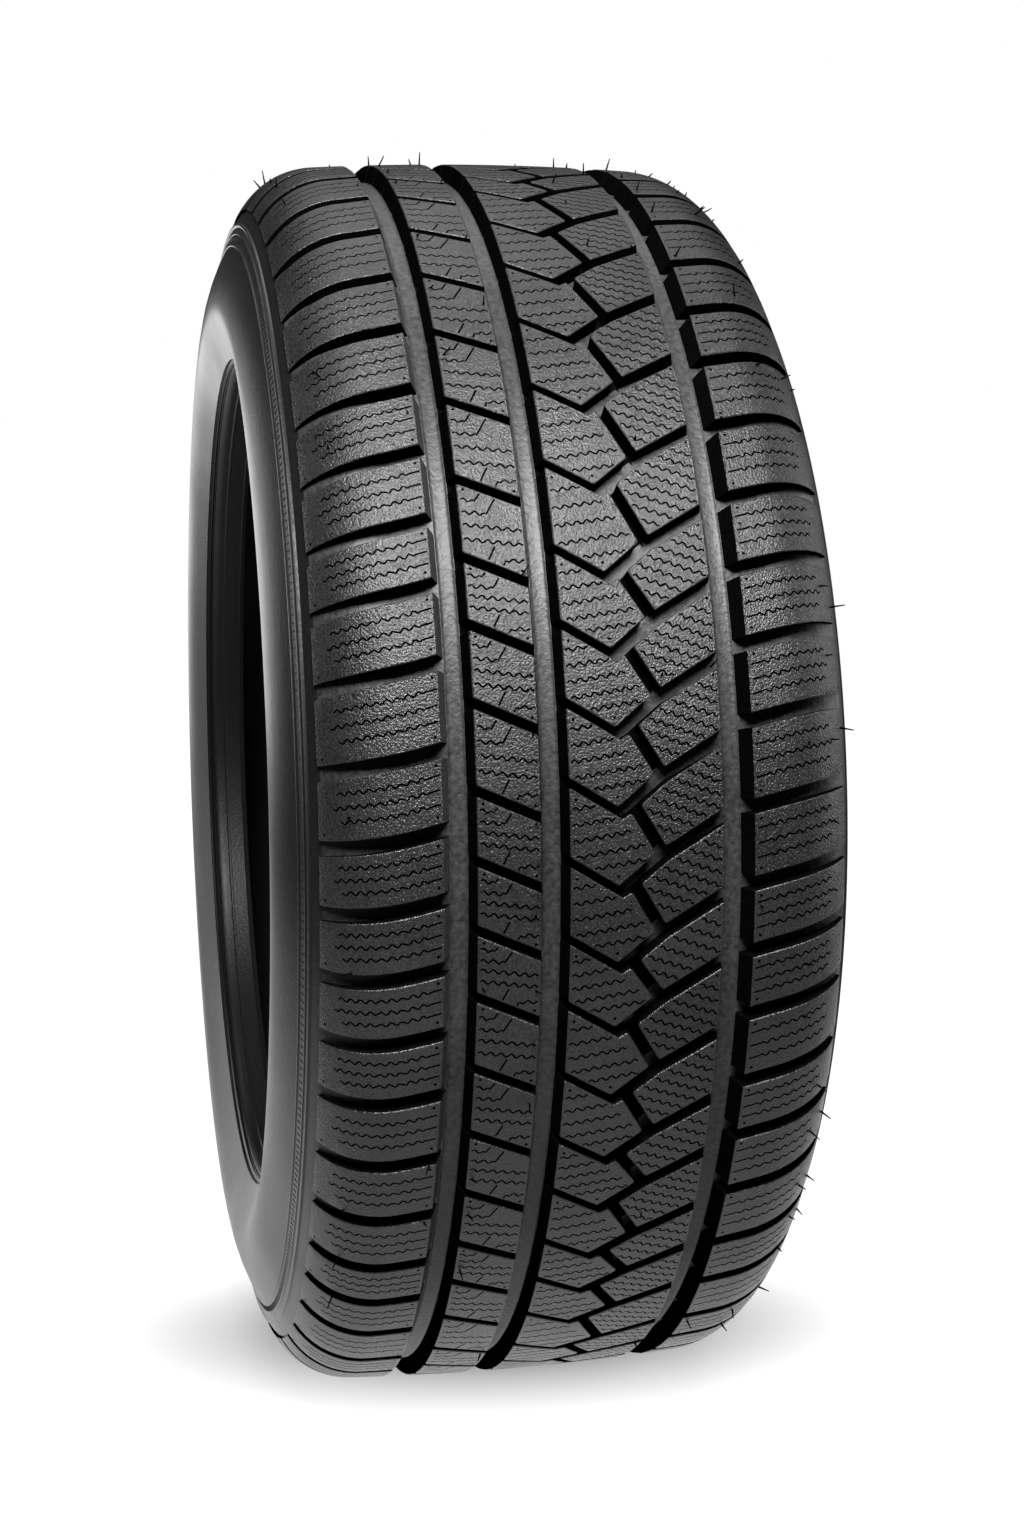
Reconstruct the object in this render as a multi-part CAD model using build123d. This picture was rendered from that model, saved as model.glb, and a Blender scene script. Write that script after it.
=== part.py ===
from build123d import *
from build123d.topology import SkipClean
import math
import os

# A car tyre without its wheel, standing upright as one moulded piece
# The spin axis is +Y, +Z is up and the origin is the wheel's centre, in millimetres and degrees

# Casing
BEAD_SEAT_RADIUS = 218.3
SECTION_HEIGHT = 107.7
SECTION_WIDTH = 268.0
BEAD_INSET = 10.0
BEAD_WIDTH = 18.0
HEEL_CHAMFER = 5.0
FLANGE_HEIGHT = 9.7
WIDEST_HEIGHT = 33.0
SIDEWALL_THICKNESS = 10.0
UNDERTREAD = 9.0
CONTACT_SAG = 1.5

# Tread edge and shoulder
CROWN_ARC_RADIUS = 1450.0
SHOULDER_INSET = 50.0
SHOULDER_RADIUS = 41.0
SHOULDER_TURN = 74.0
SHOULDER_FACETS = 6

# Grooves round the tread, from the left shoulder to the right one as seen from +X
GROOVE_CENTRES = (-60.3, -19.4, 62.3)
GROOVE_WIDTHS = (14.2, 12.6, 14.4)
GROOVE_DEPTH = 9.0
GROOVE_DRAFT = 18.0

# Slots across the tread
SLOT_DEPTH = 8.0
SLOT_RUNOUT_TURN = 9.0
SHOULDER_SLOT_WIDTH = 5.6
RIB_SLOT_WIDTH = 4.0
CENTRE_SLOT_WIDTH = 3.4
DIAGONAL_WIDTH = 5.5
ZIGZAG_WIDTH = 4.8

# Slot routes: how far up the tread each point lies from the row's own angle
LEFT_SHOULDER_RISES = (-12.4, -20.8, -21.5)
RIB_SLOT_RISES = (3.1, -15.5)
CENTRE_SLOT_RISE = 4.7
VERTEX_FROM_GROOVE = 28.7
VERTEX_RISE = -13.3
JUNCTION_FROM_GROOVE = 47.6
JUNCTION_RISE = 2.0
DIAGONAL_END_RISE = 21.8
ZIGZAG_START_FROM_VERTEX = (6.3, 2.3)
RIGHT_SHOULDER_RISES = (-11.5, -3.0, 0.0)

# Pitches of the pattern in degrees, from the longest to the shortest
PITCH_LENGTHS = {"A": 7.3, "B": 6.6, "C": 6.0, "D": 5.3}

# Each row's first angle and its order of pitches, from the top of the front downwards
LEFT_SHOULDER_ROW = (71.7, "AABBCCDCBCDDDDCCCDC" + "ACBDC" * 7 + "ABCA")
RIB_ROW = (69.2, "AAAAABDCBDDDCCCCDC" + "ACBDC" * 7 + "CBDCC")
ZIGZAG_ROW = (70.3, "AAAAAACCCCCDCCDCDC" + "ACBDC" * 7 + "DCDCD")
RIGHT_SHOULDER_ROW = (72.2, "BABCBBCCCBCDDCDCBC" + "ACBDC" * 8)
SECTOR_ANGLE = 24.0
SEAM_ANGLE = 20.0

# Sizes that follow from the ones above
half_section = SECTION_WIDTH / 2
half_spread = half_section - BEAD_INSET
half_flat = half_section - SHOULDER_INSET
toe_y = half_spread - HEEL_CHAMFER - BEAD_WIDTH
widest_radius = BEAD_SEAT_RADIUS + WIDEST_HEIGHT
crown_radius = BEAD_SEAT_RADIUS + SECTION_HEIGHT
inner_crown_radius = crown_radius - GROOVE_DEPTH - UNDERTREAD


def crown(y):
    """Radius of the tread at a distance y from the middle."""
    return crown_radius - y**2 / (2 * CROWN_ARC_RADIUS)


# Shoulder arc, tangent to the tread, that ends at the ridge on the sidewall
turn_start = math.degrees(math.asin(half_flat / CROWN_ARC_RADIUS))
arc_radius = crown(half_flat) - SHOULDER_RADIUS * math.cos(math.radians(turn_start))
arc_y = half_flat - SHOULDER_RADIUS * math.sin(math.radians(turn_start))


def shoulder_point(turn, depth=0.0):
    """Point (radius, y) where the shoulder's face has turned by this angle, or this deep below it."""
    angle = math.radians(turn)
    reach = SHOULDER_RADIUS - depth
    return (arc_radius + reach * math.cos(angle), arc_y + reach * math.sin(angle))


ridge_radius, ridge_y = shoulder_point(SHOULDER_TURN)


def mirrored(points):
    """The same points on the other side of the tyre."""
    return [(radius, -y) for radius, y in points]


def side_edges(side):
    """Edges of one side, from the tread's edge round the bead to the inside of the crown."""

    def at(radius, y):
        return (radius, side * y)

    facet_turn = (SHOULDER_TURN - turn_start) / SHOULDER_FACETS
    shoulder = [at(*shoulder_point(turn_start + i * facet_turn)) for i in range(SHOULDER_FACETS + 1)]
    ridge = shoulder[-1]
    widest = at(widest_radius, half_section)
    flange = at(BEAD_SEAT_RADIUS + FLANGE_HEIGHT, half_spread + HEEL_CHAMFER)
    heel_top = at(BEAD_SEAT_RADIUS + HEEL_CHAMFER * 0.7, half_spread)
    heel = at(BEAD_SEAT_RADIUS, half_spread - HEEL_CHAMFER)
    toe = at(BEAD_SEAT_RADIUS, toe_y)
    bead_inside = at(BEAD_SEAT_RADIUS + FLANGE_HEIGHT, toe_y + HEEL_CHAMFER / 2)
    inner_widest = at(widest_radius + SIDEWALL_THICKNESS / 2, half_section - SIDEWALL_THICKNESS)
    inner_bend = at(
        (widest_radius + inner_crown_radius + SIDEWALL_THICKNESS / 2) / 2,
        (half_section + half_flat + SIDEWALL_THICKNESS) / 2,
    )
    inner_shoulder = at(inner_crown_radius - SIDEWALL_THICKNESS, half_flat)
    inner_edge = at(inner_crown_radius, half_flat - 2 * SIDEWALL_THICKNESS)
    return [
        Polyline(*shoulder),
        TangentArc(widest, ridge, tangent=(1, 0)),
        TangentArc(widest, flange, tangent=(-1, 0)),
        Polyline(flange, heel_top, heel, toe, bead_inside),
        Polyline(bead_inside, inner_widest, inner_bend, inner_shoulder, inner_edge),
    ]


def tread_line():
    """The tread from edge to edge, down into each groove and up again."""
    points = [(crown(half_flat), -half_flat)]
    wall = GROOVE_DEPTH * math.tan(math.radians(GROOVE_DRAFT))
    for centre, width in zip(GROOVE_CENTRES, GROOVE_WIDTHS):
        left = centre - width / 2
        right = centre + width / 2
        floor = min(crown(left), crown(right)) - GROOVE_DEPTH
        points += [(crown(left), left), (floor, left + wall), (floor, right - wall), (crown(right), right)]
    points.append((crown(half_flat), half_flat))
    return Polyline(*points)


def casing():
    """The tyre's section swept round the axle in four equal runs."""
    inner_edge_y = half_flat - 2 * SIDEWALL_THICKNESS
    inner_line = Line((inner_crown_radius, -inner_edge_y), (inner_crown_radius, inner_edge_y))
    outline = [tread_line(), inner_line] + side_edges(1) + side_edges(-1)
    run = revolve(make_face(outline), axis=Axis.Y, revolution_arc=90)
    runs = [Rot(0, SEAM_ANGLE + 90 * i, 0) * run for i in range(4)]
    return runs[0] + runs[1:]


def slot_band():
    """A sector of the depth that the slots reach, running out on the shoulders before the ridges."""
    top = crown_radius + SLOT_DEPTH
    rib_y = half_flat / 2
    end_turn = SHOULDER_TURN - SLOT_RUNOUT_TURN
    middle = Vector(*shoulder_point((turn_start + end_turn) / 2, SLOT_DEPTH * 0.65))
    end = middle + (Vector(*shoulder_point(end_turn)) - middle) * 1.15
    floor = [(crown(rib_y) - SLOT_DEPTH, rib_y), (crown(half_flat) - SLOT_DEPTH, half_flat)]
    floor += [(middle.X, middle.Y), (end.X, end.Y)]
    outline = mirrored(floor[::-1]) + floor + [(top, end.Y), (top, -end.Y)]
    sector = revolve(make_face(Polyline(*outline, close=True)), axis=Axis.Y, revolution_arc=SECTOR_ANGLE)
    return Rot(0, -SECTOR_ANGLE * 0.4, 0) * sector


def left_shoulder_slot(pitch):
    """Outline of a left shoulder slot laid flat, y across the tread and then up it."""
    bend_y = (half_flat + ridge_y) / 2
    route = Polyline(*zip((GROOVE_CENTRES[0], -bend_y, -ridge_y), LEFT_SHOULDER_RISES))
    return trace(route, line_width=SHOULDER_SLOT_WIDTH)


def right_shoulder_slot(pitch):
    """Outline of a right shoulder slot laid flat."""
    bend_y = (half_flat + ridge_y) / 2
    route = Polyline(*zip((GROOVE_CENTRES[2], bend_y, ridge_y), RIGHT_SHOULDER_RISES))
    return trace(route, line_width=SHOULDER_SLOT_WIDTH)


def rib_slot(pitch):
    """Outline of a slot across the left rib laid flat."""
    return trace(Line(*zip(GROOVE_CENTRES[:2], RIB_SLOT_RISES)), line_width=RIB_SLOT_WIDTH)


def zigzag_slots(pitch):
    """Outline of the slots between the centre and right blocks laid flat, down to the next pitch."""
    middle, right = GROOVE_CENTRES[1:]
    vertex = Vector(middle + VERTEX_FROM_GROOVE, VERTEX_RISE)
    junction = Vector(middle + JUNCTION_FROM_GROOVE, JUNCTION_RISE)
    centre = Line((middle, CENTRE_SLOT_RISE), vertex)
    diagonal = Polyline(vertex, junction, (right, DIAGONAL_END_RISE))
    zigzag = Line(vertex + ZIGZAG_START_FROM_VERTEX, junction - (0, pitch))
    return (
        trace(centre, line_width=CENTRE_SLOT_WIDTH)
        + trace(diagonal, line_width=DIAGONAL_WIDTH)
        + trace(zigzag, line_width=ZIGZAG_WIDTH)
    )


def row_cutters(row, slot, band):
    """The solids that one row's slots take out of the tread, one pitch after the other."""
    angle, order = row
    bottom = ridge_radius - SHOULDER_RADIUS
    base = Plane(origin=(bottom, 0, 0), x_dir=(0, 1, 0), z_dir=(1, 0, 0))
    height = crown_radius + 2 * SLOT_DEPTH - bottom
    share = 360 / sum(PITCH_LENGTHS[letter] for letter in order)
    by_letter = {}
    for letter, length in PITCH_LENGTHS.items():
        pitch = math.radians(length * share) * crown_radius
        by_letter[letter] = (extrude(base * slot(pitch), amount=height) & band).solids()
    cutters = []
    for letter in order:
        cutters += [Rot(0, -angle, 0) * solid for solid in by_letter[letter]]
        angle -= PITCH_LENGTHS[letter] * share
    return cutters


def tread_cutters():
    """The cutters of every row of slots."""
    band = slot_band()
    return (
        row_cutters(LEFT_SHOULDER_ROW, left_shoulder_slot, band)
        + row_cutters(RIB_ROW, rib_slot, band)
        + row_cutters(ZIGZAG_ROW, zigzag_slots, band)
        + row_cutters(RIGHT_SHOULDER_ROW, right_shoulder_slot, band)
    )


def ground_cutter():
    """Block whose top is the floor under the flattened foot of the tread."""
    size = 2 * crown_radius
    top = CONTACT_SAG - crown_radius
    return Pos(0, 0, top) * Box(size, size, crown_radius, align=(Align.CENTER, Align.CENTER, Align.MAX))


# The joints of the four runs stay as edges, so that no face goes all the way round
with SkipClean():
    tyre = casing() - tread_cutters() - ground_cutter()
os.makedirs("parts", exist_ok=True)
export_step(tyre, "parts/tyre.step")
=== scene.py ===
import math
import random

import bmesh
import bpy
from mathutils import Matrix, Vector


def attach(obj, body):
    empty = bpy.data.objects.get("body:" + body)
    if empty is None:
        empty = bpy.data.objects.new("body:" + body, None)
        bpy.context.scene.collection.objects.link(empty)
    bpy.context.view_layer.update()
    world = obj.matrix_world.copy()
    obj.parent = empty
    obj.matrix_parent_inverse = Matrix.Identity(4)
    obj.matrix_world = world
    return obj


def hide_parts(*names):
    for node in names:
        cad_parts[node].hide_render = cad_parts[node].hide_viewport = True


# A car tyre without its wheel, standing upright, in the frame of its solid model
# Sizes are in millimetres and degrees unless a comment says metres, and each piece is made in metres
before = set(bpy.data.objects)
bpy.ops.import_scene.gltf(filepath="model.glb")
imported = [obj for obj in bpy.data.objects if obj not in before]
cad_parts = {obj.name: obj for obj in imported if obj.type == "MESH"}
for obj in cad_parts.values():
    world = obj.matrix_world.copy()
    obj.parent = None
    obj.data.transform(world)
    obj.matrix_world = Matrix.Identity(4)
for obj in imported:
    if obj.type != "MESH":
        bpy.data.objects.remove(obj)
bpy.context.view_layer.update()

MM = 0.001
TINY = 1e-5
WHITE = (1.0, 1.0, 1.0, 1.0)

# Casing, as in the solid model
BEAD_SEAT_RADIUS = 218.3
CROWN_RADIUS = 326.0
CROWN_ARC_RADIUS = 1450.0
HALF_SECTION = 134.0
HALF_FLAT = 84.0
SHOULDER_RADIUS = 41.0
SHOULDER_TURN = 74.0
WIDEST_RADIUS = 251.3
CONTACT_SAG = 1.5

# The casing's ring: equal sectors all round, and steps in each of them
CASING_SECTORS = 29
SECTOR_STEPS = 10

# Grooves: the tread's edges on either side of each one, and how far each wall leans in on its way down
GROOVE_DEPTH = 9.7
GROOVES = (
    (-67.5, 4.2, -53.2, 2.8),
    (-25.7, 2.3, -13.1, 2.8),
    (55.1, 2.4, 69.5, 4.4),
)
SLOT_DEPTH = 9.0

# Blocks: how far their feet sink into the casing, and the chamfer round their tops
BLOCK_SINK = 0.6
EDGE_CHAMFER = 0.4

# Width of the strips that let a flat block bend, along the tread and across the shoulder
STRIP_ALONG = 8.0
STRIP_ACROSS = 4.6

# Pitches of the pattern: each row's first angle and its order, from the top of the front downwards
PITCH_LENGTHS = {"A": 7.3, "B": 6.6, "C": 6.0, "D": 5.3}
LEFT_SHOULDER_ROW = (71.7, "AABBCCDCBCDDDDCCCDC" + "ACBDC" * 7 + "ABCA")
RIB_ROW = (69.2, "AAAAABDCBDDDCCCCDC" + "ACBDC" * 7 + "CBDCC")
ZIGZAG_ROW = (70.3, "AAAAAACCCCCDCCDCDC" + "ACBDC" * 7 + "DCDCD")
RIGHT_SHOULDER_ROW = (72.2, "BABCBBCCCBCDDCDCBC" + "ACBDC" * 8)

# Slot routes, as distance across the tread and rise along it
SLOT_LEFT_SHOULDER = ((-60.3, -12.4), (-102.5, -20.8), (-121.0, -21.5))
SLOT_RIGHT_SHOULDER = ((62.3, -11.5), (102.5, -3.0), (121.0, 0.0))
SLOT_RIB = ((-60.3, 3.1), (-19.4, -15.5))
SLOT_CENTRE = ((-19.4, 4.7), (9.3, -13.3))
SLOT_DIAGONAL = ((9.3, -13.3), (28.2, 2.0), (62.3, 21.8))
ZIGZAG_START = (15.6, -11.0)
SHOULDER_SLOT_WIDTH = 6.6
RIB_SLOT_WIDTH = 4.3
CENTRE_SLOT_WIDTH = 3.6
DIAGONAL_WIDTH = 6.0
ZIGZAG_WIDTH = 5.4

# A shoulder slot is a little wider along the tread than square to its slant
SLANT_STRETCH = 1.02

# Where a shoulder block ends, as a turn of the shoulder arc, and the step down to the band below it
BLOCK_END_TURN = 62.5
BLOCK_END_STEP = 1.6
SHOULDER_STEPS = 12

# Sipes, the fine wavy cuts in the block faces
SIPE_HALF_WIDTH = 0.42
SIPE_WAVE = 4.6
SIPE_SWING = 0.85
SIPE_STEP = 0.77
SIPE_FADE = 6.0
SIPE_DEPTH = 3.0
SIPE_CLEARANCE = 1.0
SHORTEST_SIPE = 3.0

# Shoulder sipes: bends on the way outwards, then each one's share of the pitch and its reach
SHOULDER_SIPE_BENDS = (0.0, 5.0, 16.0, 27.0)
LEFT_SIPES = ((0.337, 44.0), (0.52, 48.0), (0.705, 46.0))
RIGHT_SIPES = ((0.335, 39.0), (0.52, 41.0), (0.715, 39.0))

# Rib sipes right across: share of the pitch, and its growth with each millimetre past the shortest
SHORT_PITCH = 30.2
RIB_ACROSS_SIPES = ((0.58, 0.002), (0.75, 0.0035))
RIB_ACROSS_SLOPE = -0.15

# Rib sipes that climb to the slot above: share of the pitch and bend, and the slope of their legs
RIB_CLIMBING_SIPES = ((0.27, 7.2), (0.44, 11.8))
RIB_CLIMB = 1.9

# Sipes of the centre blocks as shares of the pitch, those of the right blocks by their spacing
CENTRE_SIPES = (0.35, 0.555, 0.76, 0.965, 1.15)
CENTRE_SIPE_SLOPE = 0.14
RIGHT_SIPE_SPACING = 5.6
RIGHT_SIPE_SLOPE = -0.36

# Vent marks, the small round pits near the corners of the blocks
DOT_RADIUS = 0.75
DOT_SIDES = 6
DOT_DEPTH = 0.8

# Vent hairs: rows across the tread with the chance of a hair at each pitch, and each hair's size
HAIR_ROWS = (
    (-108.0, 0.35), (-70.5, 0.25), (-51.0, 0.2), (-28.0, 0.25), (30.0, 0.25),
    (52.0, 0.3), (72.0, 0.3), (96.0, 0.45), (112.0, 0.55), (122.0, 0.5),
)
HAIR_SEED = 11
HAIR_LENGTHS = (2.0, 7.0)
HAIR_LEAN = 0.6
HAIR_FOOT_RADIUS = 0.55
HAIR_TIP_RADIUS = 0.25

# Heights in metres above which hairs are twice as likely, and below which there are none
HAIRY_FROM = 0.29
BARE_BELOW = -0.27

# Fine ribs on each sidewall: how many, their size, and where they stand as radius and y
FINE_RIBS = 480
FINE_RIB_SIZE = (3.4, 0.8, 0.9)
FINE_RIB_PLACE = (286.2, 123.3)
FINE_RIB_TURN = -20.0

# Height in metres of the rubber's moulded grain
GRAIN_HEIGHT = 0.0006

# Camera: place and view direction in metres, then the lens in millimetres and its shift
CAMERA_PLACE = (1.3158, -0.24172, 0.24668)
CAMERA_AHEAD = (-0.97097, 0.19899, -0.13272)
SENSOR_WIDTH = 36.0
LENS = 57.09
LENS_SHIFT = -0.0833

# Soft boxes: place, aim, width and height in metres, and power in watts
SOFT_BOXES = {
    "key_box": ((1.35, -0.1, 1.45), (0.25, 0.0, 0.1), (1.1, 0.55), 92.0),
    "back_left_box": ((-2.0, -1.4, 0.05), (0.0, -0.1, 0.0), (1.2, 0.9), 4.5),
    "behind_box": ((-1.8, -0.75, -0.05), (0.0, -0.1, 0.0), (1.2, 0.5), 4.0),
    "right_box": ((-0.15, 1.7, 0.35), (0.1, 0.1, 0.05), (1.0, 1.3), 9.0),
    "top_box": ((-1.0, 0.0, 2.0), (0.0, 0.0, 0.2), (1.6, 1.2), 12.0),
}

# Places in the lists of finishes, of the casing and of the blocks; the wall, dark floor, bead and liner
# places hold rubber darkened as painted shade
FLOOR_FINISH, SIDE_FINISH, LINER_PAINTED_SHADE, FLOOR_PAINTED_SHADE, BEAD_PAINTED_SHADE = range(5)
FACE_FINISH, WALL_PAINTED_SHADE, LEANING_FINISH = range(3)


# Section of the tread

TURN_START = math.degrees(math.asin(HALF_FLAT / CROWN_ARC_RADIUS))
EDGE_RADIUS = CROWN_RADIUS - HALF_FLAT**2 / (2 * CROWN_ARC_RADIUS)
ARC_RADIUS = EDGE_RADIUS - SHOULDER_RADIUS * math.cos(math.radians(TURN_START))
ARC_Y = HALF_FLAT - SHOULDER_RADIUS * math.sin(math.radians(TURN_START))


def crown(y):
    """Radius of the tread at a distance y from its middle."""
    return CROWN_RADIUS - y**2 / (2 * CROWN_ARC_RADIUS)


def across_at_turn(turn):
    """Distance across the tread's surface where the shoulder has turned by this angle."""
    return HALF_FLAT + SHOULDER_RADIUS * math.radians(turn - TURN_START)


def section(across, height=0.0):
    """Radius and y of a point at a distance across the surface, and a height above it."""
    side = math.copysign(1.0, across)
    reach = abs(across)
    if reach <= HALF_FLAT:
        return crown(reach) + height, across
    angle = math.radians(TURN_START) + (reach - HALF_FLAT) / SHOULDER_RADIUS
    radius = ARC_RADIUS + (SHOULDER_RADIUS + height) * math.cos(angle)
    return radius, side * (ARC_Y + (SHOULDER_RADIUS + height) * math.sin(angle))


def depth_share(across):
    """Slot depth as a share of the full depth: it runs out towards the end of the shoulder blocks."""
    reach = abs(across) - HALF_FLAT
    if reach <= 0:
        return 1.0
    run = min(1.0, reach / (across_at_turn(BLOCK_END_TURN) - HALF_FLAT))
    return 1.0 + run * (BLOCK_END_STEP / SLOT_DEPTH - 1.0)


def wrap(flat, angle):
    """A point laid flat (across, along, height) put round the tyre at this angle in radians."""
    across, along, height = flat
    radius, y = section(across, height * depth_share(across))
    turn = angle + along / CROWN_RADIUS
    up = max(radius * math.sin(turn), CONTACT_SAG - CROWN_RADIUS)
    return Vector((radius * math.cos(turn), y, up)) * MM


# Straight lines of the flat pattern


def lip(start, end, offset):
    """The line from start to end moved sideways to its left, as a point and a direction."""
    along = (Vector(end) - Vector(start)).normalized()
    return Vector(start) + Vector((-along.y, along.x)) * offset, along


def meet(first, second):
    """Where two such lines cross."""
    (p, d), (q, e) = first, second
    return p + d * ((q - p).cross(e) / d.cross(e))


def at_across(line, across):
    """The point of a line at a distance across the tread."""
    point, along = line
    return point + along * ((across - point.x) / along.x)


def pitches(row):
    """Letter, angle in radians and length in millimetres of each pitch of a row, in its order."""
    angle, order = row
    share = 360 / sum(PITCH_LENGTHS[letter] for letter in order)
    placed = []
    for letter in order:
        span = PITCH_LENGTHS[letter] * share
        placed.append((letter, math.radians(angle), math.radians(span) * CROWN_RADIUS))
        angle -= span
    return placed


def down(points, pitch):
    """The same points one pitch further down."""
    return [(across, along - pitch) for across, along in points]


def through(points, across):
    """Height at this distance of the smooth curve through three points."""
    total = 0.0
    for i, (x, value) in enumerate(points):
        for j, (other, _) in enumerate(points):
            if j != i:
                value *= (across - other) / (x - other)
        total += value
    return total


def shoulder_rise(route, across):
    """Rise of a shoulder slot at a distance across the surface, true where the radius is smaller too."""
    radius, y = section(across)
    return through(route, y) * CROWN_RADIUS / radius


# Sipes


def sipe(path, swings):
    """Outline of a thin cut along a path, with a wave on the legs whose swing isn't zero."""
    points, waves = [], []
    for (start, end), swing in zip(zip(path, path[1:]), swings):
        start, end = Vector(start), Vector(end)
        count = max(2, round((end - start).length / SIPE_STEP))
        for i in range(count):
            share = i / count
            fade = min(1.0, 4 * share * (1 - share) * (end - start).length / SIPE_FADE)
            points.append(start.lerp(end, share))
            waves.append(swing * fade)
    points.append(Vector(path[-1]))
    waves.append(0.0)
    middle, travelled = [], 0.0
    for i, point in enumerate(points):
        before, after = points[max(0, i - 1)], points[min(len(points) - 1, i + 1)]
        travelled += (point - before).length
        ahead = (after - before).normalized()
        side = Vector((-ahead.y, ahead.x))
        middle.append(point + side * waves[i] * math.sin(2 * math.pi * travelled / SIPE_WAVE))
    left, right = [], []
    for i, point in enumerate(middle):
        ahead = (middle[min(len(middle) - 1, i + 1)] - middle[max(0, i - 1)]).normalized()
        side = Vector((-ahead.y, ahead.x)) * SIPE_HALF_WIDTH
        left.append(point + side)
        right.append(point - side)
    return left + right[::-1]


def leg_end(line, corner, climb):
    """Where a leg that climbs from a corner meets a slot's lip."""
    here, beside = at_across(line, corner.x), at_across(line, corner.x + 1.0)
    reach = (here.y - corner.y) / (climb - (beside.y - here.y))
    return corner + Vector((reach, climb * reach))


def chord(corners, point, slope):
    """The part of a sloping line inside a block, clear of its edges, or None where that is short."""
    origin, ahead = Vector(point), Vector((1.0, slope)).normalized()
    low, high = -1000.0, 1000.0
    for start, end in zip(corners, corners[1:] + corners[:1]):
        edge = (Vector(end) - Vector(start)).normalized()
        inward = Vector((edge.y, -edge.x))
        room = (origin - Vector(start)).dot(inward) - SIPE_CLEARANCE
        rate = ahead.dot(inward)
        if abs(rate) < TINY:
            continue
        if rate > 0:
            low = max(low, -room / rate)
        else:
            high = min(high, -room / rate)
    if high - low <= SHORTEST_SIPE:
        return None
    return origin + ahead * low, origin + ahead * high


def dot(across, along):
    """Outline of a small round vent mark."""
    points = []
    for i in range(DOT_SIDES):
        turn = 2 * math.pi * i / DOT_SIDES
        points.append(Vector((across + DOT_RADIUS * math.cos(turn), along + DOT_RADIUS * math.sin(turn))))
    return points


# Blocks of one pitch, laid flat: outline clockwise from the upper left, sipes and vent marks


def shoulder_block(route, inner, pitch, sipe_ends):
    """A shoulder block between two slots, with sipes that follow the slot below it."""
    side = math.copysign(1.0, inner)
    outer = side * across_at_turn(BLOCK_END_TURN)
    half = SHOULDER_SLOT_WIDTH / 2 * SLANT_STRETCH
    stations = [inner + (outer - inner) * i / SHOULDER_STEPS for i in range(SHOULDER_STEPS + 1)]
    scale = [CROWN_RADIUS / section(across)[0] for across in stations]
    rises = [shoulder_rise(route, across) for across in stations]
    upper = [(a, r - half * k) for a, r, k in zip(stations, rises, scale)]
    lower = [(a, r - pitch + half * k) for a, r, k in zip(stations, rises, scale)]
    corners = upper + lower[::-1] if side > 0 else upper[::-1] + lower
    cuts = []
    for share, reach in sipe_ends:
        steps = [inner + side * (SIPE_CLEARANCE + d) for d in (*SHOULDER_SIPE_BENDS, reach)]
        path = [(a, shoulder_rise(route, a) - pitch + share * pitch) for a in steps]
        cuts.append(sipe(path, (0.0, SIPE_SWING, SIPE_SWING, SIPE_SWING)))
    near, far = inner + side * 2.6, outer - side * 4.0
    spots = [(near, -half - 2.4), (near, -pitch + half + 3.0), (far, -pitch + half + 3.0)]
    dots = [dot(a, shoulder_rise(route, a) + rise) for a, rise in spots]
    return corners, cuts, dots


def rib_block(pitch):
    """A block of the left rib, with sipes right across it and others that climb through its slots."""
    left, right = GROOVES[0][2], GROOVES[1][0]
    top = lip(*SLOT_RIB, -RIB_SLOT_WIDTH / 2)
    bottom = lip(*down(SLOT_RIB, pitch), RIB_SLOT_WIDTH / 2)
    upper = [at_across(top, left), at_across(top, right)]
    corners = upper + [at_across(bottom, right), at_across(bottom, left)]
    cuts = []
    longer = pitch - SHORT_PITCH
    shares = [share + growth * longer for share, growth in RIB_ACROSS_SIPES]
    for share in shares:
        ends = chord(corners, (left + 13.5, -share * pitch - 2.0), RIB_ACROSS_SLOPE)
        cuts.append(sipe(ends, (SIPE_SWING,)))
    inner_left, inner_right = left + SIPE_CLEARANCE, right - SIPE_CLEARANCE
    clear = Vector((0.0, SIPE_CLEARANCE))
    for share, bend in RIB_CLIMBING_SIPES:
        start = Vector((inner_left, -share * pitch))
        corner = Vector((left + bend, -share * pitch - 1.3))
        cuts.append(sipe((start, corner, leg_end(top, corner, RIB_CLIMB) - clear), (SIPE_SWING, 0.0)))
    foot = at_across(bottom, left + 10.9) + clear
    head = -shares[1] * pitch - 4.0
    cuts.append(sipe((foot, foot + Vector(((head - foot.y) / RIB_CLIMB, head - foot.y))), (0.0,)))
    corner = Vector((left + 18.3, -pitch - 3.0 + 0.07 * longer))
    foot = at_across(bottom, corner.x - 1.1) + clear
    cuts.append(sipe((foot, corner, (inner_right, corner.y - 0.2)), (0.0, SIPE_SWING)))
    dots = [dot(left + 2.6, -5.6), dot(right - 2.4, -pitch - 7.2)]
    return corners, cuts, dots


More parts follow.
